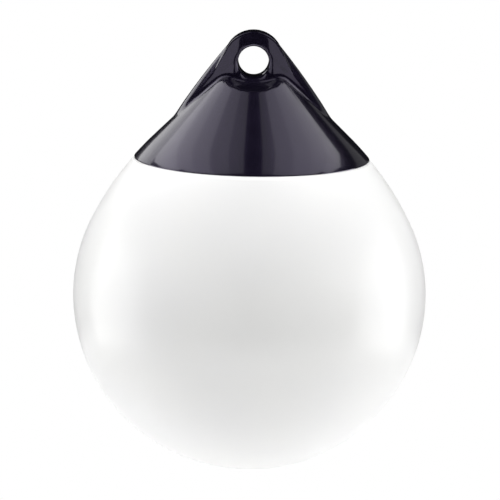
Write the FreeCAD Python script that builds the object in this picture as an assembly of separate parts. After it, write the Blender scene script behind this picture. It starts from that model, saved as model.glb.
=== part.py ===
import FreeCAD, Part

import math
import os

# Inflatable mooring buoy: a blown vinyl body, a moulded rope hold over its neck, and an inflation valve.
# The origin is the centre of the rope eye. +Z is up, and the eye's axis runs along Y.
# Lengths are in millimetres and angles in degrees.

# Body
ball_diameter = 305.0
belt_radius = 144.6          # profile radius round the widest part
belt_low_angle = 6.9         # the belt's arc runs this far below the widest line
belt_high_angle = 26.3       # and this far above it
taper_radius = 266.1         # profile radius from the belt up into the cone
cone_angle = 45.65           # slope of the cone from the vertical
body_wall = 3.5
wall_change = 9.0            # length over which the inner wall follows the step under the rim

# Hood of the rope hold
hood_wall = 6.0
hood_proud = 0.4             # step from the body's skin out to the hood's
rim_round = 0.8
rim_below_cone = 22.8        # from the rim to the start of the straight cone, along the skin
crest_radius = 31.0          # of the cone where the hood's flat top would cut it
shoulder_round = 6.0
solid_crown = 26.5           # solid material from the hood's top to the body's neck
neck_round = 10.0

# Lug and eye
eye_diameter = 26.0
eye_above_hood = 13.5        # from the hood's top up to the eye's centre
eye_mouth_round = 3.0
wall_over_eye = 12.6
lug_thickness = 34.0
lug_foot_drop = 49.5         # from the eye's centre down to where the flanks meet the hood
lug_root_depth = 14.0        # how far the lug runs on into the hood
flank_radius = 600.0         # slight bow of the lug's flanks
facet_angle = 8.0            # turn of the side facets from the lug's middle strip
strip_lean = 14.5            # lean of the strip's edges from the vertical
strip_margin = 1.2           # from the eye's rounded mouth to the strip's edge
strip_blend = 18.0
lug_edge_round = 8.0
lug_blend = 5.0              # hollow blend between the lug and the hood
groove_radius = 40.0         # rope groove through the hood's shoulder, below each mouth of the eye
groove_slope = 10.4

# Valve
valve_below_eye = 53.0
flange_diameter = 26.0
flange_thickness = 3.0
barrel_diameter = 16.0
barrel_inside = 6.0          # how far the barrel reaches past the body's wall
valve_bore = 8.2
plug_clearance = 0.1         # radial, between the plug's shank and the bore
plug_head_diameter = 14.0
plug_head_height = 3.0
plug_head_round = 0.9
plug_tip_inset = 3.0         # from the barrel's inner end back to the plug's tip
plug_tip_chamfer = 0.8
slot_width = 1.8
slot_depth = 1.4
washer_thickness = 1.5
washer_gap = 0.4             # radial, round the washer and inside it

# Derived places, in the frame whose height is zero at the ball's widest line
ball_radius = ball_diameter / 2
belt_offset = ball_radius - belt_radius
lug_half = lug_thickness / 2
eye_radius = eye_diameter / 2
far = 4 * ball_diameter


def rad(angle):
    return math.radians(angle)


def polar(centre, radius, angle):
    """Point in the profile plane, as (distance from the axis, height)."""
    return (centre[0] + radius * math.cos(rad(angle)), centre[1] + radius * math.sin(rad(angle)))


belt_centre = (belt_offset, 0.0)
taper_centre = polar(belt_centre, belt_radius - taper_radius, belt_high_angle)
pole_centre = (0.0, belt_offset * math.tan(rad(belt_low_angle)))
pole_radius = belt_radius + belt_offset / math.cos(rad(belt_low_angle))
rim_angle = cone_angle - math.degrees(rim_below_cone / taper_radius)


def skin_arc(centre, radius, start, end, inset):
    """Arc of the skin's profile, moved inward by inset: its first, middle and last points."""
    middle = (start + end) / 2
    return [polar(centre, radius - inset, angle) for angle in (start, middle, end)]


def cone_distance(inset):
    """Distance of the inset cone line from the frame's origin, along the cone's normal."""
    start = polar(taper_centre, taper_radius - inset, cone_angle)
    return start[0] * math.cos(rad(cone_angle)) + start[1] * math.sin(rad(cone_angle))


def cone_radius(height, inset):
    """Distance of the inset cone line from the axis, at a height."""
    return (cone_distance(inset) - height * math.sin(rad(cone_angle))) / math.cos(rad(cone_angle))


def cone_height(radius, inset):
    """Height at which the inset cone line is at a distance from the axis."""
    return (cone_distance(inset) - radius * math.cos(rad(cone_angle))) / math.sin(rad(cone_angle))


hood_top = cone_height(crest_radius, -hood_proud)
neck_top = hood_top - solid_crown
eye_height = hood_top + eye_above_hood


def place(point):
    """Profile point as a vector in the part's frame."""
    return FreeCAD.Vector(point[0], 0, point[1] - eye_height)


def line_edge(start, end):
    return Part.makeLine(place(start), place(end))


def arc_edge(points):
    start, middle, end = [place(point) for point in points]
    return Part.Arc(start, middle, end).toShape()


def turned_solid(edges):
    """Solid turned about the vertical axis from a closed profile."""
    face = Part.Face(Part.Wire(Part.__sortEdges__(edges)))
    return face.revolve(FreeCAD.Vector(0, 0, 0), FreeCAD.Vector(0, 0, 1), 360)


def dome_edges(start_angle, inset, top, corner_round):
    """Profile from a slope of the taper up the cone, over a rounded shoulder and in to the axis."""
    taper = skin_arc(taper_centre, taper_radius, start_angle, cone_angle, inset)
    centre_height = top - corner_round
    centre = (cone_radius(centre_height, inset + corner_round), centre_height)
    shoulder = [polar(centre, corner_round, angle) for angle in (cone_angle, (cone_angle + 90) / 2, 90)]
    return [
        arc_edge(taper),
        line_edge(taper[2], shoulder[0]),
        arc_edge(shoulder),
        line_edge(shoulder[2], (0.0, top)),
    ]


def ball_edges(end_angle, inset):
    """Profile from the bottom of the ball up to a slope of the taper."""
    pole = skin_arc(pole_centre, pole_radius, -90, -belt_low_angle, inset)
    belt = skin_arc(belt_centre, belt_radius, -belt_low_angle, belt_high_angle, inset)
    taper = skin_arc(taper_centre, taper_radius, belt_high_angle, end_angle, inset)
    return [arc_edge(pole), arc_edge(belt), arc_edge(taper)]


def taper_point(angle, inset):
    return polar(taper_centre, taper_radius - inset, angle)


def pole_point(inset):
    return polar(pole_centre, pole_radius - inset, -90)


def neck_solid():
    """Everything inside the hood: the space that the body's neck fills."""
    edges = dome_edges(rim_angle, hood_wall, neck_top, neck_round)
    floor = taper_point(rim_angle, hood_wall)
    edges.append(line_edge((0.0, neck_top), (0.0, floor[1])))
    edges.append(line_edge((0.0, floor[1]), floor))
    return turned_solid(edges)


def body_solid():
    """Blown body: one wall from the ball up into the closed neck under the hood."""
    outside = ball_edges(rim_angle, 0.0)
    outside.append(line_edge(taper_point(rim_angle, 0.0), taper_point(rim_angle, hood_wall)))
    outside += dome_edges(rim_angle, hood_wall, neck_top, neck_round)
    inner_neck = hood_wall + body_wall
    change_angle = rim_angle - math.degrees(wall_change / taper_radius)
    inside = ball_edges(change_angle, body_wall)
    inside.append(line_edge(taper_point(change_angle, body_wall), taper_point(rim_angle, inner_neck)))
    inside += dome_edges(rim_angle, inner_neck, neck_top - body_wall, neck_round - body_wall)
    top = line_edge((0.0, neck_top), (0.0, neck_top - body_wall))
    bottom = line_edge(pole_point(body_wall), pole_point(0.0))
    return turned_solid(outside + inside + [top, bottom])


# Hood

def hood_solid():
    """Filled cone of the hood, from its rim to its flat top."""
    edges = dome_edges(rim_angle, -hood_proud, hood_top, shoulder_round)
    rim_out = taper_point(rim_angle, -hood_proud)
    rim_in = taper_point(rim_angle, hood_wall)
    edges.append(line_edge((0.0, hood_top), (0.0, rim_in[1])))
    edges.append(line_edge((0.0, rim_in[1]), rim_in))
    edges.append(line_edge(rim_in, rim_out))
    solid = turned_solid(edges)
    rim = place(rim_out)
    edge = [e for e in solid.Edges if abs(e.BoundBox.XMax - rim.x) < 0.01 and e.BoundBox.ZLength < 0.01]
    return solid.makeFillet(rim_round, edge)


# Lug

def lug_outline():
    """Outline of the lug: a round crown over the eye, two bowed flanks and a flat root."""
    crown_radius = eye_radius + wall_over_eye
    foot_height = -lug_foot_drop
    foot_half = cone_radius(eye_height + foot_height, -hood_proud)
    foot_distance = math.hypot(foot_half, foot_height)
    centre_distance = flank_radius - crown_radius
    turn_cosine = centre_distance ** 2 + foot_distance ** 2 - flank_radius ** 2
    turn = math.acos(turn_cosine / (2 * centre_distance * foot_distance))
    direction = math.atan2(foot_height, foot_half) - turn
    centre = (centre_distance * math.cos(direction), centre_distance * math.sin(direction))
    root_height = foot_height - lug_root_depth
    crown_angle = math.degrees(direction) + 180
    root_angle = math.degrees(math.asin((root_height - centre[1]) / flank_radius))
    middle_angle = (crown_angle + root_angle) / 2
    flank = [polar(centre, flank_radius, angle) for angle in (crown_angle, middle_angle, root_angle)]
    right = [FreeCAD.Vector(x, 0, z) for x, z in flank]
    left = [FreeCAD.Vector(-x, 0, z) for x, z in flank]
    crown = FreeCAD.Vector(0, 0, crown_radius)
    return Part.Wire([
        Part.Arc(left[0], crown, right[0]).toShape(),
        Part.Arc(*right).toShape(),
        Part.makeLine(right[2], left[2]),
        Part.Arc(*left[::-1]).toShape(),
    ])


def block_beyond(point, normal):
    """Large block whose face lies at a point, square to a normal that points into it."""
    block = Part.makeBox(far, far, far, FreeCAD.Vector(-far / 2, -far / 2, 0))
    block.Placement = FreeCAD.Placement(point, FreeCAD.Rotation(FreeCAD.Vector(0, 0, 1), normal))
    return block


def face_normal(face):
    u_low, u_high, v_low, v_high = face.ParameterRange
    return face.normalAt((u_low + u_high) / 2, (v_low + v_high) / 2)


def lug_solid():
    """Lug with a flat middle strip, two side facets on each face and full rounded edges."""
    face = Part.Face(lug_outline())
    face.translate(FreeCAD.Vector(0, -lug_half, 0))
    lug = face.extrude(FreeCAD.Vector(0, lug_thickness, 0))
    lean = rad(strip_lean)
    facet = rad(facet_angle)
    strip_distance = eye_radius + eye_mouth_round + strip_margin
    for front in (-1, 1):
        for side in (-1, 1):
            outward = FreeCAD.Vector(side * math.cos(lean), 0, math.sin(lean))
            point = outward * strip_distance + FreeCAD.Vector(0, front * lug_half, 0)
            normal = outward * math.sin(facet) + FreeCAD.Vector(0, front * math.cos(facet), 0)
            lug = lug.cut(block_beyond(point, normal))
    lug = lug.makeFillet(strip_blend, strip_edges(lug))
    return lug.makeFillet(lug_edge_round, outline_edges(lug))


def faces_beside(shape, edge):
    return [face_normal(face) for face in shape.ancestorsOfType(edge, Part.Face)]


def strip_edges(lug):
    """Edges between the middle strip and the side facets."""
    chosen = []
    for edge in lug.Edges:
        normals = faces_beside(lug, edge)
        if min(abs(normal.y) for normal in normals) > 0.5 and edge.BoundBox.ZLength > lug_half:
            chosen.append(edge)
    return chosen


def outline_edges(lug):
    """Edges between the lug's front or back and its crown and flanks."""
    chosen = []
    for edge in lug.Edges:
        normals = sorted(faces_beside(lug, edge), key=lambda normal: abs(normal.y))
        if abs(normals[0].y) < 0.2 and normals[0].z > -0.5 and abs(normals[-1].y) > 0.8:
            chosen.append(edge)
    return chosen


# Eye and rope groove

def eye_cutter():
    """Throat of the eye with a rounded mouth at each face of the lug."""
    throat_half = lug_half - eye_mouth_round
    mouth_radius = eye_radius + eye_mouth_round
    reach = lug_thickness
    bend = eye_mouth_round * math.sin(rad(45))

    def spot(along, radius):
        return FreeCAD.Vector(radius, along, 0)

    def mouth(front):
        middle = spot(front * (throat_half + bend), mouth_radius - bend)
        return Part.Arc(spot(front * throat_half, eye_radius), middle, spot(front * lug_half, mouth_radius))

    edges = [
        Part.makeLine(spot(-reach, 0), spot(-reach, mouth_radius)),
        Part.makeLine(spot(-reach, mouth_radius), spot(-lug_half, mouth_radius)),
        mouth(-1).toShape(),
        Part.makeLine(spot(-throat_half, eye_radius), spot(throat_half, eye_radius)),
        mouth(1).toShape(),
        Part.makeLine(spot(lug_half, mouth_radius), spot(reach, mouth_radius)),
        Part.makeLine(spot(reach, mouth_radius), spot(reach, 0)),
        Part.makeLine(spot(reach, 0), spot(-reach, 0)),
    ]
    face = Part.Face(Part.Wire(Part.__sortEdges__(edges)))
    return face.revolve(FreeCAD.Vector(0, 0, 0), FreeCAD.Vector(0, 1, 0), 360)


def groove_cutter(front):
    """Wide shallow groove that leads the rope from one mouth of the eye down over the hood."""
    mouth_radius = eye_radius + eye_mouth_round
    centre = FreeCAD.Vector(0, front * lug_half, groove_radius - mouth_radius)
    ring = Part.makeCircle(groove_radius, centre, FreeCAD.Vector(0, 1, 0))
    drop = math.tan(rad(groove_slope))
    return Part.Face(Part.Wire([ring])).extrude(FreeCAD.Vector(0, front, -drop) * crest_radius * 2)


def rope_hold_solid():
    """Hood and lug moulded as one piece, hollow below to fit over the body's neck."""
    hood = hood_solid()
    lug = lug_solid()
    hold = hood.fuse(lug)
    seam = []
    for edge in hold.Edges:
        middle = Part.Vertex(edge.valueAt((edge.FirstParameter + edge.LastParameter) / 2))
        if hood.Shells[0].distToShape(middle)[0] < 0.001 and lug.Shells[0].distToShape(middle)[0] < 0.001:
            seam.append(edge)
    hold = hold.makeFillet(lug_blend, seam)
    for front in (-1, 1):
        hold = hold.cut(groove_cutter(front))
    hold = hold.cut(eye_cutter())
    return hold.cut(neck_solid())


# Valve, on the back of the hood. Its axis is square to the hood's skin there.

valve_height = eye_height - valve_below_eye
valve_point = FreeCAD.Vector(0, cone_radius(valve_height, -hood_proud), valve_height - eye_height)
valve_axis = FreeCAD.Vector(0, math.cos(rad(cone_angle)), math.sin(rad(cone_angle)))
barrel_end = hood_proud + hood_wall + body_wall + barrel_inside
plug_length = barrel_end - plug_tip_inset
washer_outer = plug_head_diameter / 2
shank_radius = valve_bore / 2 - plug_clearance


def valve_disc(radius, low, high):
    """Cylinder on the valve's axis between two distances out from the hood's skin."""
    return Part.makeCylinder(radius, high - low, valve_point + valve_axis * low, valve_axis)


def seat_hole():
    """Room for the valve seat through the hood and the body."""
    flange = valve_disc(flange_diameter / 2, -flange_thickness, flange_thickness)
    return flange.fuse(valve_disc(barrel_diameter / 2, -barrel_end, 0))


def valve_seat_solid():
    """Flanged seat, flush with the hood, with a recess for the washer and a bore for the plug."""
    seat = valve_disc(flange_diameter / 2, -flange_thickness, 0)
    seat = seat.fuse(valve_disc(barrel_diameter / 2, -barrel_end, 0))
    seat = seat.cut(valve_disc(washer_outer + washer_gap, -washer_thickness, flange_thickness))
    return seat.cut(valve_disc(valve_bore / 2, -barrel_end - 1, 1))


def rim_edges(shape, distance, radius):
    """Circular edges at a distance along the valve's axis."""
    chosen = []
    for edge in shape.Edges:
        if not isinstance(edge.Curve, Part.Circle):
            continue
        along = (edge.Curve.Center - valve_point).dot(valve_axis)
        if abs(along - distance) < 0.001 and abs(edge.Curve.Radius - radius) < 0.001:
            chosen.append(edge)
    return chosen


def valve_plug_solid():
    """Screw plug with a slotted head that presses on the washer."""
    head_radius = plug_head_diameter / 2
    plug = valve_disc(head_radius, 0, plug_head_height)
    plug = plug.fuse(valve_disc(shank_radius, -plug_length, 0))
    plug = plug.makeFillet(plug_head_round, rim_edges(plug, plug_head_height, head_radius))
    plug = plug.makeChamfer(plug_tip_chamfer, rim_edges(plug, -plug_length, shank_radius))
    corner = FreeCAD.Vector(-plug_head_diameter, -slot_width / 2, plug_head_height - slot_depth)
    slot = Part.makeBox(plug_head_diameter * 2, slot_width, plug_head_height, corner)
    turn = FreeCAD.Rotation(FreeCAD.Vector(0, 0, 1), valve_axis)
    slot.Placement = FreeCAD.Placement(valve_point, turn)
    return plug.cut(slot)


def valve_washer_solid():
    washer = valve_disc(washer_outer, -washer_thickness, 0)
    return washer.cut(valve_disc(shank_radius + washer_gap, -washer_thickness - 1, 1))


def write(name, shape):
    """Write one piece and print what it measures."""
    box = shape.BoundBox
    low = [round(value, 1) for value in (box.XMin, box.YMin, box.ZMin)]
    high = [round(value, 1) for value in (box.XMax, box.YMax, box.ZMax)]
    volume = round(shape.Volume / 1000, 1)
    print(name, "solids", len(shape.Solids), "valid", shape.isValid(), "cm3", volume, low, high)
    shape.exportStep("parts/" + name + ".step")


def main():
    os.makedirs("parts", exist_ok=True)
    print("eye above the widest line", round(eye_height, 2), "slope of the rim", round(rim_angle, 2))
    write("body_shell", body_solid().cut(seat_hole()))
    write("rope_hold", rope_hold_solid().cut(seat_hole()))
    write("valve_seat", valve_seat_solid())
    write("valve_plug", valve_plug_solid())
    write("valve_washer", valve_washer_solid())


main()
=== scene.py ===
import math

import bpy
from mathutils import Matrix, Vector
from mathutils.bvhtree import BVHTree


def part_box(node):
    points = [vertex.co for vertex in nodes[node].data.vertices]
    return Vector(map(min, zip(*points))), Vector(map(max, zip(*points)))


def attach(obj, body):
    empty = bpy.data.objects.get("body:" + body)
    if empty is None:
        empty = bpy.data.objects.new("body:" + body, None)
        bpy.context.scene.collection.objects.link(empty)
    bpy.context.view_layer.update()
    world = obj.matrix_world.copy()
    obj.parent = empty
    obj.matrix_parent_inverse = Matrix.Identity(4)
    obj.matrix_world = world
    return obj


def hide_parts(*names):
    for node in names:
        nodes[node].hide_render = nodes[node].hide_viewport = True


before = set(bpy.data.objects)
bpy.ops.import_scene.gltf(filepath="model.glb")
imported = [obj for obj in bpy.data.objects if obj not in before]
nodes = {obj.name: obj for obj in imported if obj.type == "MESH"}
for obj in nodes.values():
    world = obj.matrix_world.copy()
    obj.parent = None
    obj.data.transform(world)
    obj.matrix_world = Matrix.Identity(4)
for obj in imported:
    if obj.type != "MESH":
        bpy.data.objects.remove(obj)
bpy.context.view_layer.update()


# Small tools that every piece uses

tolerance = {
    "merge": 0.00001,      # metres: points closer than this become one
    "wind": 0.000001,      # the same where a profile is wound round an axis
    "cut": 0.0000001,      # how near a cutting plane a point counts as on it
}


def onArc(centre, radius, angle):  # point in the profile plane: distance from the axis, height
    turn = math.radians(angle)
    return (centre[0] + radius * math.cos(turn), centre[1] + radius * math.sin(turn))


# Evenly spaced points along an arc, the last one left to the next stretch
def arcPoints(centre, radius, start, end, spacing):
    length = radius * abs(math.radians(end - start))
    count = max(2, round(length / spacing))
    return [onArc(centre, radius, start + (end - start) * i / count) for i in range(count)]


def linePoints(start, end, spacing):
    count = max(1, round(math.dist(start, end) / spacing))
    return [tuple(a + (b - a) * i / count for a, b in zip(start, end)) for i in range(count)]


def dropSelection():
    if bpy.context.mode != "OBJECT":
        bpy.ops.object.mode_set(mode="OBJECT")
    bpy.ops.object.select_all(action="DESELECT")


def makeActive(piece):
    dropSelection()
    piece.select_set(True)
    bpy.context.view_layer.objects.active = piece


def editAll(piece):  # edit mode with everything selected
    makeActive(piece)
    bpy.ops.object.mode_set(mode="EDIT")
    bpy.ops.mesh.select_all(action="SELECT")


def leaveEdit():
    bpy.ops.object.mode_set(mode="OBJECT")


def applyPlace(piece):  # puts the piece's place and turn into its mesh
    makeActive(piece)
    bpy.ops.object.transform_apply(location=True, rotation=True)


def drawLine(points):  # drawn from one vertex in the plane across the front; stays in edit mode
    dropSelection()
    across, height = points[0]
    bpy.ops.mesh.primitive_plane_add(size=0.01, location=(across, 0, height), enter_editmode=True)
    bpy.ops.mesh.merge(type="CENTER")
    for before, after in zip(points, points[1:]):
        step = (after[0] - before[0], 0, after[1] - before[1])
        bpy.ops.mesh.extrude_region_move(TRANSFORM_OT_translate={"value": step})
    bpy.ops.mesh.select_all(action="SELECT")


def drawFace(outline):  # the closed outline filled with one face; stays in edit mode
    drawLine(outline + outline[:1])
    bpy.ops.mesh.remove_doubles(threshold=tolerance["merge"])
    bpy.ops.mesh.edge_face_add()


def nameDrawn(name):  # leaves edit mode and puts the drawn object's place into its mesh
    leaveEdit()
    bpy.ops.object.transform_apply(location=True, rotation=True, scale=True)
    bpy.context.object.name = name
    return bpy.context.object


def applyModifier(piece, kind, **settings):
    makeActive(piece)
    modifier = piece.modifiers.new(kind.lower(), kind)
    for key, value in settings.items():
        setattr(modifier, key, value)
    bpy.ops.object.modifier_apply(modifier=modifier.name)


def closeUp(piece):  # merges the doubles and turns the faces outward
    editAll(piece)
    bpy.ops.mesh.remove_doubles(threshold=tolerance["merge"])
    bpy.ops.mesh.delete_loose()
    bpy.ops.mesh.select_all(action="SELECT")
    bpy.ops.mesh.normals_make_consistent(inside=False)
    leaveEdit()
    bpy.ops.object.shade_smooth()
    return piece


def turnedPiece(name, profile, around):  # a drawn profile turned round the vertical axis
    drawLine(profile)
    piece = nameDrawn(name)
    applyModifier(piece, "SCREW", angle=math.tau, steps=around, render_steps=around,
                  use_merge_vertices=True, merge_threshold=tolerance["wind"])
    return closeUp(piece)


def cutWith(piece, cutter, operation="DIFFERENCE"):
    applyModifier(piece, "BOOLEAN", operation=operation, solver="EXACT", object=cutter)
    bpy.data.objects.remove(cutter)


# Materials

white = [1, 1, 1, 1]
usualNoise = (0.35, 0.65)  # most of a noise texture's values lie between these


def linearColour(code):  # sRGB hex to the linear values that the shader takes
    channels = [int(code[i:i + 2], 16) / 255 for i in (1, 3, 5)]
    linear = [c / 12.92 if c <= 0.04045 else ((c + 0.055) / 1.055) ** 2.4 for c in channels]
    return linear + [1.0]


# Settings and links go by socket name, socket number or attribute
def addNode(tree, kind, settings=None, links=None):
    node = tree.nodes.new(kind)
    for key, value in (settings or {}).items():
        if key in node.inputs:
            node.inputs[key].default_value = value
        else:
            setattr(node, key, value)
    for key, source in (links or {}).items():
        tree.links.new(source, node.inputs[key])
    return node


def newMaterial(name):
    material = bpy.data.materials.new(name)
    material.use_nodes = True
    material.node_tree.nodes.clear()
    return material


def finishPiece(piece, material):
    piece.data.materials.clear()
    piece.data.materials.append(material)


# Noise whose lumps are about size metres across
def addGrain(tree, place, size, detail=2.0):
    settings = {"Scale": 1 / size, "Detail": detail}
    return addNode(tree, "ShaderNodeTexNoise", settings, {"Vector": place}).outputs["Fac"]


def spread(tree, source, low, high):  # turns noise into values from low to high
    settings = {"From Min": usualNoise[0], "From Max": usualNoise[1], "To Min": low, "To Max": high}
    return addNode(tree, "ShaderNodeMapRange", settings, {"Value": source}).outputs["Result"]


# A Mix node has its colours at inputs 6 and 7 and at output 2
def tintBetween(tree, source, first, second):
    mix = addNode(tree, "ShaderNodeMix", {"data_type": "RGBA"})
    mix.inputs[6].default_value = linearColour(first)
    mix.inputs[7].default_value = linearColour(second)
    tree.links.new(source, mix.inputs[0])
    return mix.outputs[2]


def surfaceMaterial(name, values, finish):  # shader values, then what varies over the surface
    material = newMaterial(name)
    tree = material.node_tree
    place = addNode(tree, "ShaderNodeTexCoord").outputs["Object"]
    shader = addNode(tree, "ShaderNodeBsdfPrincipled", values)
    patches = spread(tree, addGrain(tree, place, finish["patchSize"]), 0, 1)
    shade = tintBetween(tree, patches, *finish["shades"])
    tree.links.new(shade, shader.inputs["Base Color"])
    wear = addGrain(tree, place, finish["wearSize"], detail=4.0)
    tree.links.new(spread(tree, wear, *finish["roughness"]), shader.inputs["Roughness"])
    grain = addGrain(tree, place, finish["grainSize"], finish["grainDetail"])
    relief = addNode(tree, "ShaderNodeBump", {"Strength": 1.0, "Distance": finish["grainDepth"]},
                     {"Height": grain})
    tree.links.new(relief.outputs["Normal"], shader.inputs["Normal"])
    addNode(tree, "ShaderNodeOutputMaterial", links={"Surface": shader.outputs[0]})
    return material


# Blown PVC, white and glossy. Its skin copies the mould's polish, so reflections are soft but
# unbroken; the thick wall gives a slow orange peel that only shows in a highlight's edge.
whiteVinyl = surfaceMaterial("whiteBlownVinyl", {"IOR": 1.53}, {
    "shades": ("#E9E9E8", "#E7E7E7"),
    "patchSize": 0.09,
    "roughness": (0.28, 0.33),
    "wearSize": 0.03,
    "grainSize": 0.006,
    "grainDetail": 1.0,
    "grainDepth": 0.00002,
})

# Navy-black PVC from a polished mould: a sharp lacquer-like reflection over a wider violet sheen,
# which is how the pigment bronzes near a bright lamp.
blackVinyl = surfaceMaterial("blackMouldedVinyl", {
    "IOR": 1.55,
    "Specular Tint": linearColour("#CCB5FF"),
    "Coat Weight": 1.0,
    "Coat Roughness": 0.08,
    "Coat IOR": 1.5,
}, {
    "shades": ("#0A0812", "#0E0B17"),
    "patchSize": 0.05,
    "roughness": (0.19, 0.25),
    "wearSize": 0.012,
    "grainSize": 0.004,
    "grainDetail": 1.0,
    "grainDepth": 0.000008,
})

# Black glass-filled nylon, as moulded: satin, with the fine pits that the fibre leaves at the skin.
seatNylon = surfaceMaterial("blackMouldedNylon", {"IOR": 1.53}, {
    "shades": ("#17171A", "#1F1F22"),
    "patchSize": 0.006,
    "roughness": (0.38, 0.5),
    "wearSize": 0.003,
    "grainSize": 0.0005,
    "grainDetail": 3.0,
    "grainDepth": 0.00002,
})

# Grey acetal, turned: even and waxy, a little duller where the tool dwelt.
plugAcetal = surfaceMaterial("greyTurnedAcetal", {"IOR": 1.48}, {
    "shades": ("#98989B", "#A5A5A7"),
    "patchSize": 0.004,
    "roughness": (0.3, 0.42),
    "wearSize": 0.0015,
    "grainSize": 0.0003,
    "grainDetail": 2.0,
    "grainDepth": 0.000008,
})

# Black nitrile rubber, pressed: matt, with a dusty bloom in soft patches.
washerRubber = surfaceMaterial("blackNitrileRubber", {
    "IOR": 1.52,
    "Sheen Weight": 0.15,
    "Sheen Roughness": 0.5,
}, {
    "shades": ("#131313", "#202021"),
    "patchSize": 0.002,
    "roughness": (0.6, 0.8),
    "wearSize": 0.001,
    "grainSize": 0.0003,
    "grainDetail": 3.0,
    "grainDepth": 0.00002,
})


# Skin of the whole buoy: the ball, its belt, the taper and the cone

skinShape = {
    "ballDiameter": 0.305,
    "beltRadius": 0.1446,      # profile radius round the widest part
    "beltLow": 6.9,            # degrees that the belt's arc runs below the widest line
    "beltHigh": 26.3,          # and above it
    "taperRadius": 0.2661,     # profile radius from the belt up into the cone
    "coneAngle": 45.65,        # slope of the cone from the vertical
    "rimBelowCone": 0.0228,    # along the skin from the hood's rim up to the straight cone
}

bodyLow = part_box("body_shell")[0]


# Centre and radius of each arc of the profile, and the slope at the hood's rim
def skinArcs(shape):
    beltLow = math.radians(shape["beltLow"])
    beltOffset = shape["ballDiameter"] / 2 - shape["beltRadius"]
    poleRadius = shape["beltRadius"] + beltOffset / math.cos(beltLow)
    poleLift = beltOffset * math.tan(beltLow)
    widest = bodyLow.z + poleRadius - poleLift
    belt = ((beltOffset, widest), shape["beltRadius"])
    taperCentre = onArc(belt[0], shape["beltRadius"] - shape["taperRadius"], shape["beltHigh"])
    return {
        "pole": ((0, widest + poleLift), poleRadius),
        "belt": belt,
        "taper": (taperCentre, shape["taperRadius"]),
        "rimSlope": shape["coneAngle"] - math.degrees(shape["rimBelowCone"] / shape["taperRadius"]),
    }


skin = skinArcs(skinShape)
coneAngle = skinShape["coneAngle"]


def skinPoints(part, start, end, inset, spacing):
    centre, radius = skin[part]
    return arcPoints(centre, radius - inset, start, end, spacing)


def taperPoint(angle, inset):
    centre, radius = skin["taper"]
    return onArc(centre, radius - inset, angle)


def coneRadius(height, inset):  # distance of the inset cone from the axis
    top = taperPoint(coneAngle, inset)
    return top[0] - (height - top[1]) * math.tan(math.radians(coneAngle))


def ballPoints(endSlope, inset, spacing):  # from the ball's lowest point up to a slope of the taper
    points = skinPoints("pole", -90, -skinShape["beltLow"], inset, spacing)
    points += skinPoints("belt", -skinShape["beltLow"], skinShape["beltHigh"], inset, spacing)
    return points + skinPoints("taper", skinShape["beltHigh"], endSlope, inset, spacing)


# Up the taper and the cone, over a rounded shoulder and in to the axis
def domePoints(startSlope, inset, top, rounding, spacing):
    centre = (coneRadius(top - rounding, inset + rounding), top - rounding)
    points = skinPoints("taper", startSlope, coneAngle, inset, spacing)
    points += linePoints(taperPoint(coneAngle, inset), onArc(centre, rounding, coneAngle), spacing)
    points += arcPoints(centre, rounding, coneAngle, 90, spacing / 2)
    points += linePoints(onArc(centre, rounding, 90), (0, top), spacing)
    return points + [(0, top)]


# Valve's place: on the back of the hood, square to its skin

valveShape = {
    "belowEye": 0.053,
    "flangeRadius": 0.013,
    "flangeThickness": 0.003,
    "barrelRadius": 0.008,
    "insertGap": 0.00012,      # hairline between the insert and the moulding round it
    "roomAbove": 0.01,         # how far the insert's room runs out past the hood's skin
    "roomBelow": 0.03,         # and in through hood and body
    "headRadius": 0.007,
    "headHeight": 0.003,
    "headRound": 0.0009,
    "slotWidth": 0.0018,
    "slotDepth": 0.0014,
    "crestRadius": 0.004,      # thread
    "rootRadius": 0.0034,
    "crestSpare": 0.00001,     # wound past the shank's surface, so that the shank trims it
    "pitch": 0.002,
    "shankLength": 0.0129,
    "tipChamfer": 0.0008,
    "threadAround": 72,        # steps round the thread
    "around": 96,              # steps round the shank and the insert's room
    "headAround": 128,
    "sharpFrom": 30,           # degrees between faces from which an edge stays sharp
}


def atValve(piece, shape, hold):  # from its own upright axis to the valve's
    turn = Matrix.Rotation(math.radians(coneAngle - 90), 4, "X")
    radius = coneRadius(-shape["belowEye"], -hold["hoodProud"])
    piece.matrix_world = Matrix.Translation((0, radius, -shape["belowEye"])) @ turn
    applyPlace(piece)
    return piece


def makeSeatCutter(shape, hold):  # room for the flange and the barrel
    flange = shape["flangeRadius"] + shape["insertGap"]
    barrel = shape["barrelRadius"]
    top = shape["roomAbove"]
    bed = -shape["flangeThickness"]
    end = -shape["roomBelow"]
    profile = [(0, top), (flange, top), (flange, bed), (barrel, bed), (barrel, end), (0, end)]
    return atValve(turnedPiece("seatCutter", profile, shape["around"]), shape, hold)


# Body

bodyShape = {
    "wall": 0.0035,
    "neckTop": -0.04,          # height of the closed neck under the hood
    "neckRound": 0.01,
    "ringSpacing": 0.004,
    "around": 160,
}


def makeBody(shape, hold):
    spacing = shape["ringSpacing"]
    slope = skin["rimSlope"]
    outside = ballPoints(slope, 0, spacing)
    outside += linePoints(taperPoint(slope, 0), taperPoint(slope, hold["hoodWall"]), spacing)
    outside += domePoints(slope, hold["hoodWall"], shape["neckTop"], shape["neckRound"], spacing)
    body = turnedPiece("vinylBody", outside, shape["around"])
    applyModifier(body, "SOLIDIFY", thickness=shape["wall"], offset=-1, use_even_offset=True)
    cutWith(body, makeSeatCutter(valveShape, hold))
    return body


# Rope hold: hood, lug, ribs and eye as one moulding

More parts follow.
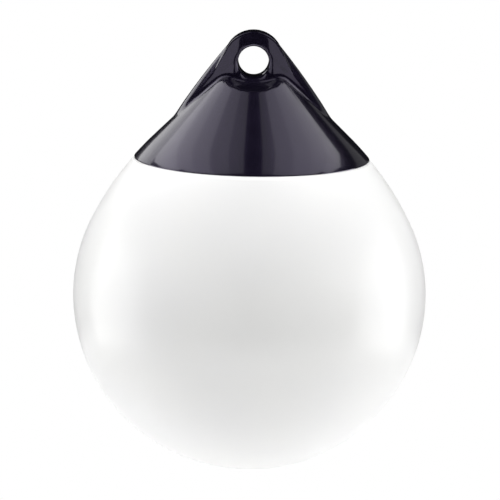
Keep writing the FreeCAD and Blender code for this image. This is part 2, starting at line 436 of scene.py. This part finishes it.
ropeHoldShape = {
    "hoodWall": 0.006,
    "hoodProud": 0.0004,       # step from the body's skin out to the hood's
    "rimRound": 0.0008,
    "shoulderRound": 0.006,
    "eyeDiameter": 0.026,
    "mouthRound": 0.003,
    "eyeAboveHood": 0.0135,    # from the hood's top up to the eye's centre
    "wallOverEye": 0.0124,
    "lugHalf": 0.017,          # half the thickness that the lug's round edges would reach
    "faceHalf": 0.014,         # half its real thickness at the eye, where flat faces cut them off
    "lugDraft": 8.0,           # degrees that the lug thickens downward, on each face
    "edgeDepth": 0.0225,       # how far in from the lug's outline its round edge reaches
    "crownRound": 0.003,       # tighter edge of the faces where they reach the crown
    "facePlateInset": 0.016,   # how far inside the flanks' feet that tighter edge would end
    "plateGap": 0.00002,       # keeps the crowns of lug and face plate out of one surface
    "stripHalf": 0.0123,       # half the width of the flat strip across the eye
    "facetTurn": 6.5,          # degrees that the flanks' facets turn back on each side of it
    "flankRadius": 0.6,        # slight bow of the lug's flanks
    "footDrop": 0.0495,        # from the eye's centre down to where the flanks meet the hood
    "rootDrop": 0.082,         # and down to the end of the lug's root, inside the hood
    "seamReach": 0.01,         # how far the blend between lug and hood spreads on the crest
    "seamAtFlank": 0.0035,     # and out at the flanks' feet
    "scoopRadius": 0.06,       # wide hollow that leads the rope down from the eye's mouth
    "scoopDepth": 0.004,
    "scoopSlope": 11.0,
    "scoopStart": 1.11,        # where the scoop's cutter starts, in halves of the lug's thickness
    "scoopLength": 0.08,
    "splitHeight": -0.066,     # below this the hood is plain turned work
    "splitGap": 0.001,
    "splitMerge": 0.0003,      # shortest edge left round the split
    "sharpFrom": 50,           # degrees between faces from which an edge stays sharp
}

# How finely the rope hold is drawn and cut
ropeHoldMesh = {
    "ringSpacing": 0.004,
    "around": 160,
    "fineSpacing": 0.001,      # for the true surfaces that the fused mesh is laid onto
    "fineAround": 480,
    "outlineSpacing": 0.0008,
    "edgeSteps": 36,
    "crownSteps": 8,
    "eyeAround": 96,
    "mouthSpacing": 0.0004,
    "scoopAround": 160,
    "voxel": 0.00108,
    "roomBelowRim": 2,         # degrees of slope that the neck's room runs on below the rim
    "lensHalf": 0.075,         # half width of the prism that cuts the lug's faces
    "lensHeight": 0.4,
    "lensBelow": 0.25,         # how much of that height is below the eye's centre
}

# Where the rope hold's moulding is soft. Each pair is where an effect starts to fade and where it
# ends: metres, shares of the seam's reach, or shares of the scoop's zone.
softZones = {
    "crest": (0.022, 0.045),   # across the lug, from the wide seam to the flanks' narrow one
    "seam": (0.3, 1.0),
    "mouthRing": 0.0015,       # from the eye's radius out to the middle of its mouth's rounding
    "mouthStart": 0.009,       # from the lug's middle out to where its mouths begin
    "mouth": (0.0015, 0.005),
    "mouthShare": 0.1,
    "scoopMiddle": (0.024, -0.016),      # distance from the lug's middle, and height
    "scoopZone": (0.03, 0.016, 0.009),   # half widths: across, front to back, height
    "scoop": (0.6, 1.0),
    "scoopShare": 0.8,
    "pastMouth": (0.003, 0.006),         # from here on the mesh is laid onto the true surfaces
    "pastScoop": (0.9, 1.2),
    "pastSeam": (0.8, 1.3),
    "onSurface": 0.001,        # a point farther than this from a surface isn't laid onto it
    "smoothing": 0.5,
    "passes": 60,              # for the soft zones
    "lastPasses": 7,           # for the whole moulding
}


# The body comes here because its neck fits the rope hold's sizes
vinylBody = makeBody(bodyShape, ropeHoldShape)
finishPiece(vinylBody, whiteVinyl)
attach(vinylBody, "buoy")
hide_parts("body_shell")
print("body made")


def rimTop(shape):  # slope where the rim's rounding ends
    return skin["rimSlope"] + math.degrees(shape["rimRound"] / skin["taper"][1])


def rimPoints(shape, spacing):  # from the rim's inner corner out to its rounded outer corner
    rounding = shape["rimRound"]
    slope = skin["rimSlope"]
    rimIn = taperPoint(slope, shape["hoodWall"])
    rimOut = taperPoint(slope, rounding - shape["hoodProud"])
    corner = taperPoint(rimTop(shape), rounding - shape["hoodProud"])
    points = linePoints(rimIn, rimOut, spacing)
    return points + arcPoints(corner, rounding, slope - 90, slope, rounding / 4)


def makeHoodBlank(shape, spacing, around):  # filled hood, with no room for the neck yet
    top = -shape["eyeAboveHood"]
    profile = domePoints(rimTop(shape), -shape["hoodProud"], top, shape["shoulderRound"], spacing)
    rim = rimPoints(shape, spacing)
    return turnedPiece("hoodBlank", [(0, rim[0][1])] + rim + profile, around)


def makeNeckRoom(shape, body, mesh):  # what the body's neck fills, run on below the rim
    lowest = skin["rimSlope"] - mesh["roomBelowRim"]
    profile = domePoints(lowest, shape["hoodWall"], body["neckTop"], body["neckRound"],
                         mesh["ringSpacing"])
    return turnedPiece("neckRoom", [(0, profile[0][1])] + profile, mesh["around"])


# From the apex round: crown, flank and a wide round root, cut off later
def lugOutline(shape, spacing, crownInset=0, footInset=0):
    crown = shape["eyeDiameter"] / 2 + shape["wallOverEye"] - crownInset
    flank = shape["flankRadius"]
    footHeight = -shape["footDrop"]
    footHalf = coneRadius(footHeight, -shape["hoodProud"]) - footInset
    footDistance = math.hypot(footHalf, footHeight)
    centreDistance = flank - crown
    turn = math.acos((centreDistance ** 2 + footDistance ** 2 - flank ** 2)
                     / (2 * centreDistance * footDistance))
    direction = math.atan2(footHeight, footHalf) - turn
    centre = (centreDistance * math.cos(direction), centreDistance * math.sin(direction))
    flankStart = math.degrees(direction) + 180
    flankEnd = math.degrees(math.asin((-shape["rootDrop"] - centre[1]) / flank))
    root = onArc(centre, flank, flankEnd)
    rootRadius = root[0] / math.cos(math.radians(flankEnd))
    rootCentre = (0, root[1] - rootRadius * math.sin(math.radians(flankEnd)))
    right = arcPoints((0, 0), crown, 90, flankStart, spacing)
    right += arcPoints(centre, flank, flankStart, flankEnd, spacing)
    right += arcPoints(rootCentre, rootRadius, flankEnd, -90, spacing)
    left = [(-x, z) for x, z in right[:0:-1]]
    return right + [onArc(rootCentre, rootRadius, -90)] + left


def makeFaceLens(shape, mesh):  # upright prism with the section that both of the lug's faces follow
    strip = (shape["stripHalf"], shape["faceHalf"])
    reach = mesh["lensHalf"]
    side = (reach, strip[1] - (reach - strip[0]) * math.tan(math.radians(shape["facetTurn"])))
    face = [(-side[0], side[1]), (-strip[0], strip[1]), strip, side]
    drawFace(face + [(-x, -y) for x, y in face])
    upward = (0, mesh["lensHeight"], 0)
    bpy.ops.mesh.extrude_region_move(TRANSFORM_OT_translate={"value": upward})
    lens = closeUp(nameDrawn("faceLens"))
    lens.rotation_euler = (math.pi / 2, 0, 0)
    lens.location = (0, 0, -mesh["lensBelow"])
    applyPlace(lens)
    return lens


# How far in and how far forward each small inset goes round an edge
def roundSteps(inward, forward, count):
    angles = [math.pi / 2 * i / count for i in range(count + 1)]
    return [(inward * (math.cos(a) - math.cos(b)), forward * (math.sin(b) - math.sin(a)))
            for a, b in zip(angles, angles[1:])]


# The outline's face is inset and raised in small steps, then mirrored to the back
def makePlate(name, outline, steps):
    drawFace(outline)
    for inward, forward in steps:
        bpy.ops.mesh.inset(thickness=inward, depth=0, use_even_offset=True)
        bpy.ops.transform.translate(value=(0, -forward, 0))
    plate = nameDrawn(name)
    applyModifier(plate, "MIRROR", use_axis=(False, True, False),
                  merge_threshold=tolerance["merge"])
    return closeUp(plate)


# Carries the lug's faces up close to the crown, and dies out down the flanks
def makeFacePlate(shape, mesh):
    rounding = shape["crownRound"]
    outline = lugOutline(shape, mesh["outlineSpacing"], shape["plateGap"], shape["facePlateInset"])
    steps = [(0, shape["lugHalf"] - rounding)]
    steps += roundSteps(rounding, rounding, mesh["crownSteps"])
    return makePlate("facePlate", outline, steps)


def makeLug(shape, mesh):
    steps = roundSteps(shape["edgeDepth"], shape["lugHalf"], mesh["edgeSteps"])
    lug = makePlate("lugBlank", lugOutline(shape, mesh["outlineSpacing"]), steps)
    cutWith(lug, makeFacePlate(shape, mesh), "UNION")
    cutWith(lug, makeFaceLens(shape, mesh), "INTERSECT")
    height = lug.dimensions.z
    swell = -math.tan(math.radians(shape["lugDraft"])) / shape["lugHalf"] * height
    applyModifier(lug, "SIMPLE_DEFORM", deform_method="TAPER", deform_axis="Z", factor=swell,
                  lock_x=True)
    editAll(lug)
    bpy.ops.mesh.bisect(plane_co=(0, 0, -shape["rootDrop"]), plane_no=(0, 0, 1), use_fill=True,
                        clear_inner=True)
    leaveEdit()
    return lug


def makeEyeCutter(shape, mesh):  # turned round the eye's axis, which runs from front to back
    throat = shape["eyeDiameter"] / 2
    half = shape["faceHalf"]
    flare = shape["mouthRound"]
    mouth = throat + flare
    far = half * 3  # well past the lug's faces
    side = arcPoints((mouth, half - flare), flare, 180, 90, mesh["mouthSpacing"]) + [(mouth, half)]
    profile = [(0, far), (mouth, far)] + side[::-1] + [(x, -z) for x, z in side]
    profile += [(mouth, -far), (0, -far)]
    cutter = turnedPiece("eyeCutter", profile, mesh["eyeAround"])
    cutter.rotation_euler = (math.pi / 2, 0, 0)
    applyPlace(cutter)
    return cutter


def makeScoopCutter(shape, mesh, front):
    slope = math.radians(shape["scoopSlope"])
    along = Vector((0, front * math.cos(slope), -math.sin(slope)))
    radius = shape["scoopRadius"]
    face = shape["faceHalf"] * shape["scoopStart"] + radius * math.sin(slope)
    bottom = -shape["eyeAboveHood"] - shape["scoopDepth"] + radius * math.cos(slope)
    length = shape["scoopLength"]
    centre = Vector((0, front * face, bottom)) + along * length / 2
    dropSelection()
    bpy.ops.mesh.primitive_cylinder_add(vertices=mesh["scoopAround"], radius=radius, depth=length,
                                        location=centre,
                                        rotation=along.to_track_quat("Z", "Y").to_euler())
    return nameDrawn("scoopCutter")


def copyOf(piece, name):
    twin = piece.copy()
    twin.data = piece.data.copy()
    twin.name = name
    bpy.context.scene.collection.objects.link(twin)
    return twin


def fade(value, near, far):  # 1 up to near, 0 from far, smooth between
    share = min(max((value - near) / (far - near), 0), 1)
    return 1 - share * share * (3 - 2 * share)


def distancesTo(piece, target):
    tree = BVHTree.FromObject(target, bpy.context.evaluated_depsgraph_get())
    return [tree.find_nearest(vertex.co)[3] for vertex in piece.data.vertices]


def fillGroup(piece, name, weights):
    group = piece.vertex_groups.new(name=name)
    for index, weight in enumerate(weights):
        if weight > 0.001:
            group.add([index], weight, "REPLACE")


def scoopNearness(co, zones):  # 0 in the middle of a scoop, 1 at the end of its soft edge
    out, up = zones["scoopMiddle"]
    wide, deep, high = zones["scoopZone"]
    return math.sqrt((co.x / wide) ** 2 + ((co.z - up) / high) ** 2
                     + ((abs(co.y) - out) / deep) ** 2)


# Weights of one point of the fused mesh, from its distances to the hood and to the lug: how far it
# is softened, and how far it is then laid onto the hood's and onto the lug's true surface
def holdWeights(co, hood, lug, shape, zones):
    crest = fade(abs(co.x), *zones["crest"])
    reach = shape["seamAtFlank"] + (shape["seamReach"] - shape["seamAtFlank"]) * crest
    seam = fade(max(hood, lug), *(reach * share for share in zones["seam"]))
    fromMouth = abs(math.hypot(co.x, co.z) - shape["eyeDiameter"] / 2 - zones["mouthRing"])
    atMouth = abs(co.y) > zones["mouthStart"]
    mouth = zones["mouthShare"] * fade(fromMouth, *zones["mouth"]) if atMouth else 0
    nearness = scoopNearness(co, zones)
    scoop = zones["scoopShare"] * fade(nearness, *zones["scoop"])
    free = 1 - max(fade(fromMouth, *zones["pastMouth"]), fade(nearness, *zones["pastScoop"]))
    past = [reach * share for share in zones["pastSeam"]]
    onHood = free * (1 - fade(lug, *past)) if hood < zones["onSurface"] else 0
    onLug = free * (1 - fade(hood, *past)) if lug < zones["onSurface"] else 0
    return max(seam, mouth, scoop), onHood, onLug


# Soft blends where the moulding has them, true surfaces elsewhere
def softenHold(hold, hoodBlank, lugBlank, shape, zones):
    toHood = distancesTo(hold, hoodBlank)
    toLug = distancesTo(hold, lugBlank)
    weights = [holdWeights(vertex.co, hood, lug, shape, zones)
               for vertex, hood, lug in zip(hold.data.vertices, toHood, toLug)]
    for name, values in zip(("soft", "onHood", "onLug"), zip(*weights)):
        fillGroup(hold, name, values)
    applyModifier(hold, "SMOOTH", factor=zones["smoothing"], iterations=zones["passes"],
                  vertex_group="soft")
    applyModifier(hold, "SHRINKWRAP", target=hoodBlank, vertex_group="onHood")
    applyModifier(hold, "SHRINKWRAP", target=lugBlank, vertex_group="onLug")
    applyModifier(hold, "SMOOTH", factor=zones["smoothing"], iterations=zones["lastPasses"])


# Outer skin down from the split, round the rim and up the inner skin
def skirtProfile(shape, spacing):
    height = shape["splitHeight"]
    low = height - shape["splitGap"]
    outer = (coneRadius(height, -shape["hoodProud"]), height)
    inner = (coneRadius(low, shape["hoodWall"]), low)
    up = linePoints(inner, taperPoint(coneAngle, shape["hoodWall"]), spacing)
    up += skinPoints("taper", coneAngle, skin["rimSlope"], shape["hoodWall"], spacing)
    up += rimPoints(shape, spacing)
    up += skinPoints("taper", rimTop(shape), coneAngle, -shape["hoodProud"], spacing)
    up += linePoints(taperPoint(coneAngle, -shape["hoodProud"]), outer, spacing) + [outer]
    return up[::-1]


# Those at least this far from the vertical axis; stays in edit mode
def selectOpenEdges(piece, beyond):
    makeActive(piece)
    bpy.ops.object.mode_set(mode="EDIT")
    bpy.ops.mesh.select_mode(type="EDGE")
    bpy.ops.mesh.select_all(action="DESELECT")
    bpy.ops.mesh.select_non_manifold(use_wire=False, use_multi_face=False, use_non_contiguous=False,
                                     use_verts=False)
    leaveEdit()
    spots = piece.data.vertices
    for edge in piece.data.edges:
        if edge.select and spots[edge.vertices[0]].co.xy.length < beyond:
            edge.select = False
    bpy.ops.object.mode_set(mode="EDIT")


# The hood below the split, drawn out of the split's own edge ring by ring
def addSkirt(hold, shape, spacing):
    selectOpenEdges(hold, coneRadius(shape["splitHeight"], shape["hoodWall"] / 2))
    bpy.ops.mesh.remove_doubles(threshold=shape["splitMerge"])
    bpy.ops.mesh.duplicate()
    bpy.ops.mesh.separate(type="SELECTED")
    leaveEdit()
    skirt = [piece for piece in bpy.context.selected_objects if piece is not hold][0]
    editAll(skirt)
    profile = skirtProfile(shape, spacing)
    for before, after in zip(profile, profile[1:]):
        grow = after[0] / before[0]
        drop = (0, 0, after[1] - before[1])
        bpy.ops.mesh.extrude_region_move(TRANSFORM_OT_translate={"value": drop})
        bpy.ops.transform.resize(value=(grow, grow, 1), center_override=(0, 0, after[1]))
    leaveEdit()
    hold.select_set(True)
    bpy.context.view_layer.objects.active = hold
    bpy.ops.object.join()
    closeUp(hold)
    selectOpenEdges(hold, 0)
    bpy.ops.mesh.fill()
    bpy.ops.mesh.select_mode(type="VERT")
    leaveEdit()


def makeRopeHold(shape, mesh, zones, body):
    hoodBlank = makeHoodBlank(shape, mesh["fineSpacing"], mesh["fineAround"])
    lugBlank = makeLug(shape, mesh)
    cutWith(lugBlank, makeEyeCutter(shape, mesh))
    hold = makeHoodBlank(shape, mesh["ringSpacing"], mesh["around"])
    hold.name = "ropeHold"
    lugPart = copyOf(lugBlank, "lugPart")
    for part in (hold, lugPart):
        for front in (-1, 1):
            cutWith(part, makeScoopCutter(shape, mesh, front))
        cutWith(part, makeNeckRoom(shape, body, mesh))
    makeActive(hold)
    lugPart.select_set(True)
    bpy.ops.object.join()
    applyModifier(hold, "REMESH", mode="VOXEL", voxel_size=mesh["voxel"])
    print("rope hold fused", len(hold.data.vertices))
    softenHold(hold, hoodBlank, lugBlank, shape, zones)
    cutWith(hold, makeSeatCutter(valveShape, shape))
    editAll(hold)
    bpy.ops.mesh.bisect(plane_co=(0, 0, shape["splitHeight"]), plane_no=(0, 0, 1),
                        clear_inner=True, threshold=tolerance["cut"])
    leaveEdit()
    addSkirt(hold, shape, mesh["ringSpacing"])
    closeUp(hold)
    bpy.ops.object.shade_smooth_by_angle(angle=math.radians(shape["sharpFrom"]))
    for blank in (hoodBlank, lugBlank):
        bpy.data.objects.remove(blank)
    return hold


ropeHold = makeRopeHold(ropeHoldShape, ropeHoldMesh, softZones, bodyShape)
finishPiece(ropeHold, blackVinyl)
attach(ropeHold, "buoy")
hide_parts("rope_hold")
print("rope hold made", len(ropeHold.data.vertices))


# Valve: the seat and the washer are the CAD's own; the plug gets its thread

def makeShankBlank(shape):
    crest = shape["crestRadius"]
    tip = -shape["shankLength"]
    top = shape["headHeight"] - shape["slotDepth"] - shape["headRound"] / 2
    chamfer = shape["tipChamfer"]
    profile = [(0, tip), (crest - chamfer, tip), (crest, tip + chamfer), (crest, top), (0, top)]
    return turnedPiece("shankBlank", profile, shape["around"])


# One tooth's profile drawn, then wound up along a helix and closed at both ends
def makeThreadedRod(shape):
    root = shape["rootRadius"]
    crest = shape["crestRadius"] + shape["crestSpare"]
    pitch = shape["pitch"]
    low = -shape["shankLength"] - pitch
    # each point's radius, and its height as a share of the pitch
    tooth = [(root, 0), (root, 0.15), (crest, 0.45), (crest, 0.55), (root, 0.85), (root, 1.0)]
    drawLine([(across, low + share * pitch) for across, share in tooth])
    rod = nameDrawn("threadedRod")
    turns = math.ceil(shape["shankLength"] / pitch) + 2
    applyModifier(rod, "SCREW", angle=math.tau, screw_offset=pitch, iterations=turns,
                  steps=shape["threadAround"], render_steps=shape["threadAround"],
                  use_merge_vertices=True, merge_threshold=tolerance["wind"])
    editAll(rod)
    bpy.ops.mesh.remove_doubles(threshold=tolerance["wind"])
    bpy.ops.mesh.fill_holes(sides=0)
    bpy.ops.mesh.select_all(action="SELECT")
    bpy.ops.mesh.normals_make_consistent(inside=False)
    leaveEdit()
    return rod


def makePlugHead(shape):
    radius = shape["headRadius"]
    top = shape["headHeight"]
    rounding = shape["headRound"]
    corner = (radius - rounding, top - rounding)
    edge = arcPoints(corner, rounding, 0, 90, rounding / 6) + [(corner[0], top)]
    profile = [(0, 0), (radius, 0)] + edge + [(0, top)]
    head = turnedPiece("valvePlugTurned", profile, shape["headAround"])
    slot = (radius * 3, shape["slotWidth"], 2 * shape["slotDepth"])  # runs out past both sides
    dropSelection()
    bpy.ops.mesh.primitive_cube_add(size=1, location=(0, 0, top), scale=slot)
    cutWith(head, nameDrawn("slotCutter"))
    return head


def makePlug(shape, hold):
    rod = makeThreadedRod(shape)
    cutWith(rod, makeShankBlank(shape), "INTERSECT")
    plug = makePlugHead(shape)
    cutWith(plug, rod, "UNION")
    makeActive(plug)
    bpy.ops.object.shade_smooth_by_angle(angle=math.radians(shape["sharpFrom"]))
    return atValve(plug, shape, hold)


valvePlug = makePlug(valveShape, ropeHoldShape)
finishPiece(valvePlug, plugAcetal)
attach(valvePlug, "plug")
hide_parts("valve_plug")

for name, material in (("valve_seat", seatNylon), ("valve_washer", washerRubber)):
    for slot in nodes[name].material_slots:
        slot.material = material
print("valve made", len(valvePlug.data.vertices))


# Camera, at the photograph's angle

cameraSet = {
    "ballHeight": -0.20329,      # metres, the ball's widest line
    "distance": 1.83,            # metres from the ball's centre
    "elevation": 12.69,          # degrees above the ball's centre
    "lens": 151.7,               # mm
    "sensor": 36,                # mm wide
    "roll": 1.02,                # degrees
    "framePixels": 500,
    "ballAcross": 249.4,         # pixels from the frame's left edge to the ball's centre
    "ballDown": 293.8,           # pixels from its top edge
}


def aimCamera(settings):
    elevation = math.radians(settings["elevation"])
    away = Vector((0, -math.cos(elevation), math.sin(elevation)))
    ballCentre = Vector((0, 0, settings["ballHeight"]))
    camera = bpy.data.objects.new("photoCamera", bpy.data.cameras.new("photoCamera"))
    bpy.context.scene.collection.objects.link(camera)
    camera.data.lens = settings["lens"]
    camera.data.sensor_width = settings["sensor"]
    focalPixels = settings["lens"] / settings["sensor"] * settings["framePixels"]
    half = settings["framePixels"] / 2
    pitch = math.atan((settings["ballDown"] - half) / focalPixels)
    yaw = math.atan((settings["ballAcross"] - half) / focalPixels)
    facing = (-away).to_track_quat("-Z", "Y").to_matrix().to_4x4()
    lean = Matrix.Rotation(math.radians(settings["roll"]), 4, "Z")
    tilt = Matrix.Rotation(pitch, 4, "X") @ Matrix.Rotation(yaw, 4, "Y")
    place = Matrix.Translation(ballCentre + away * settings["distance"])
    camera.matrix_world = place @ facing @ lean @ tilt
    bpy.context.scene.camera = camera


aimCamera(cameraSet)


# Studio: bright cloths over the buoy with a slit between them, softboxes round it, and black
# drapes behind those, which only reflections see. Brightness 1 is a white card in full light.

studio = {
    "floorDrop": 0.6,          # metres from the ball's bottom down to the floor
    "floorRadius": 2.2,
    "shadowReach": 1.1,        # metres from the buoy's axis where the floor ends in the backdrop
    "fadeStart": 0.5,          # share of that reach where it starts to fade
    "roomLevel": 0.04,         # stray light
    "drapeRadius": 6.5,
    "drapeHeight": 4.0,
    "drapeDrop": 0.05,         # how far the drapes hang below the floor
    "roofHeight": 1.0,
    "overheadHeight": 2.0,     # wide fill above the roof cloths
    "overheadWidth": 3.6,
    "overheadBrightness": 2.60,
    "aim": (0, -0.03, -0.1),
}

# Roof cloths by their edges across (x) and from front to back (y), in metres, and their brightness.
# They grow brighter away from the slit, which draws the dark stripe down the hood's middle.
roofCloths = [
    ("rightCloth1", 0.14, 0.30, -0.50, 0.12, 0.37),
    ("rightCloth2", 0.30, 0.55, -0.50, 0.32, 0.79),
    ("rightCloth3", 0.55, 0.80, -0.45, 0.62, 0.98),
    ("rightCloth4", 0.80, 1.04, -0.30, 0.90, 1.07),
    ("rightCloth5", 1.04, 1.30, 0.05, 1.10, 1.18),
    ("leftCloth1", -0.30, -0.10, -0.50, 0.12, 0.45),
    ("leftCloth2", -0.55, -0.30, -0.50, 0.32, 0.67),
    ("leftCloth3", -0.80, -0.55, -0.45, 0.62, 1.07),
    ("leftCloth4", -1.04, -0.80, -0.30, 1.35, 1.30),
    ("leftCloth5", -1.50, -1.04, 0.05, 1.35, 1.65),
    ("leftCloth6", -3.20, -1.04, 1.35, 5.00, 0.95),
]

# Softboxes: degrees round from the camera and up, distance, width, height, brightness
sideBoxes = [
    ("lowFront", 0, -38, 1.1, 1.20, 0.35, 1.10),
    ("frontLeft", -26, 6, 1.6, 1.00, 1.05, 0.70),
    ("frontRight", 26, 6, 1.6, 1.00, 1.05, 0.65),
    ("ribLeft", -58, 12, 1.6, 0.50, 0.70, 0.88),
    ("ribRight", 58, 12, 1.6, 0.50, 0.70, 1.45),
    ("sideLeft", -95, -5, 1.6, 1.30, 1.30, 2.45),
    ("sideRight", 95, -5, 1.6, 1.30, 1.30, 2.80),
    ("backLeft", -135, 0, 1.8, 1.20, 1.50, 0.10),
    ("backRight", 135, 0, 1.8, 1.20, 1.50, 0.12),
]


def addSoftbox(name, place, target, width, height, brightness):
    lamp = bpy.data.objects.new(name, bpy.data.lights.new(name, "AREA"))
    bpy.context.scene.collection.objects.link(lamp)
    lamp.data.shape = "RECTANGLE"
    lamp.data.size = width
    lamp.data.size_y = height
    lamp.data.energy = math.pi * width * height * brightness
    lamp.location = place
    lamp.rotation_euler = (Vector(target) - Vector(place)).to_track_quat("-Z", "Y").to_euler()
    lamp.visible_camera = False
    return lamp


def hangRoof(cloths, height):
    for name, left, right, front, back, brightness in cloths:
        middle = ((left + right) / 2, (front + back) / 2)
        addSoftbox(name, (*middle, height), (*middle, 0), right - left, back - front, brightness)


def standBoxes(boxes, aim):
    for name, azimuth, elevation, distance, width, height, brightness in boxes:
        turn = math.radians(azimuth)
        rise = math.radians(elevation)
        level = math.cos(rise)
        away = Vector((math.sin(turn) * level, -math.cos(turn) * level, math.sin(rise)))
        addSoftbox(name, Vector(aim) + away * distance, aim, width, height, brightness)


def hangOverhead(settings):  # lights the ball but doesn't shine in the hood, which the cloths do
    width = settings["overheadWidth"]
    overhead = addSoftbox("overhead", (0, 0, settings["overheadHeight"]), (0, 0, 0), width, width,
                          settings["overheadBrightness"])
    overhead.visible_glossy = False


def larger(tree, first, second):
    node = addNode(tree, "ShaderNodeMath", {"operation": "MAXIMUM"}, {0: first, 1: second})
    return node.outputs[0]


def backdropRays(tree):  # 1 for the rays that see the white backdrop, 0 for all others
    path = addNode(tree, "ShaderNodeLightPath").outputs
    seen = larger(tree, path["Is Camera Ray"], path["Is Glossy Ray"])
    return larger(tree, seen, path["Is Transmission Ray"])


def makeWorld(level):
    world = bpy.data.worlds.new("studioWorld")
    world.use_nodes = True
    tree = world.node_tree
    tree.nodes.clear()
    seen = backdropRays(tree)
    room = addNode(tree, "ShaderNodeBackground", {"Color": white, "Strength": level})
    backdrop = addNode(tree, "ShaderNodeBackground", {"Color": white, "Strength": 1.0})
    mix = addNode(tree, "ShaderNodeMixShader",
                  links={0: seen, 1: room.outputs[0], 2: backdrop.outputs[0]})
    addNode(tree, "ShaderNodeOutputWorld", links={"Surface": mix.outputs[0]})
    bpy.context.scene.world = world


def floorHeight(settings):
    return bodyLow.z - settings["floorDrop"]


# Lit and shadowed near the buoy, and fading farther out into the backdrop's white
def makeFloor(settings):
    dropSelection()
    bpy.ops.mesh.primitive_circle_add(vertices=96, radius=settings["floorRadius"],
                                      fill_type="NGON", location=(0, 0, floorHeight(settings)))
    floor = bpy.context.object
    floor.name = "paleFloor"
    material = newMaterial("paleFloorPaint")
    tree = material.node_tree
    paint = addNode(tree, "ShaderNodeBsdfDiffuse", {"Color": linearColour("#EDEDED")})
    glow = addNode(tree, "ShaderNodeEmission", {"Strength": 1.0})
    place = addNode(tree, "ShaderNodeTexCoord").outputs["Object"]
    far = addNode(tree, "ShaderNodeVectorMath", {"operation": "LENGTH"}, {0: place})
    reach = settings["shadowReach"]
    faded = addNode(tree, "ShaderNodeMapRange",
                    {"From Min": reach * settings["fadeStart"], "From Max": reach},
                    {"Value": far.outputs["Value"]})
    share = addNode(tree, "ShaderNodeMath", {"operation": "MULTIPLY"},
                    {0: backdropRays(tree), 1: faded.outputs[0]})
    mix = addNode(tree, "ShaderNodeMixShader",
                  links={0: share.outputs[0], 1: paint.outputs[0], 2: glow.outputs[0]})
    addNode(tree, "ShaderNodeOutputMaterial", links={"Surface": mix.outputs[0]})
    floor.data.materials.append(material)


# Black velvet all round, which only reflections see: the hood shines with the cloths alone
def hangDrapes(settings):
    height = settings["drapeHeight"]
    middle = floorHeight(settings) - settings["drapeDrop"] + height / 2
    dropSelection()
    bpy.ops.mesh.primitive_cylinder_add(vertices=64, radius=settings["drapeRadius"], depth=height,
                                        end_fill_type="TRIFAN", location=(0, 0, middle))
    drapes = bpy.context.object
    drapes.name = "blackDrapes"
    material = newMaterial("blackVelvet")
    tree = material.node_tree
    velvet = addNode(tree, "ShaderNodeBsdfDiffuse", {"Color": linearColour("#303032")})
    addNode(tree, "ShaderNodeOutputMaterial", links={"Surface": velvet.outputs[0]})
    drapes.data.materials.append(material)
    for ray in ("camera", "diffuse", "transmission", "shadow"):
        setattr(drapes, "visible_" + ray, False)


makeWorld(studio["roomLevel"])
makeFloor(studio)
hangDrapes(studio)
hangRoof(roofCloths, studio["roofHeight"])
standBoxes(sideBoxes, studio["aim"])
hangOverhead(studio)
print("studio made")

bpy.context.scene.view_settings.view_transform = "Standard"
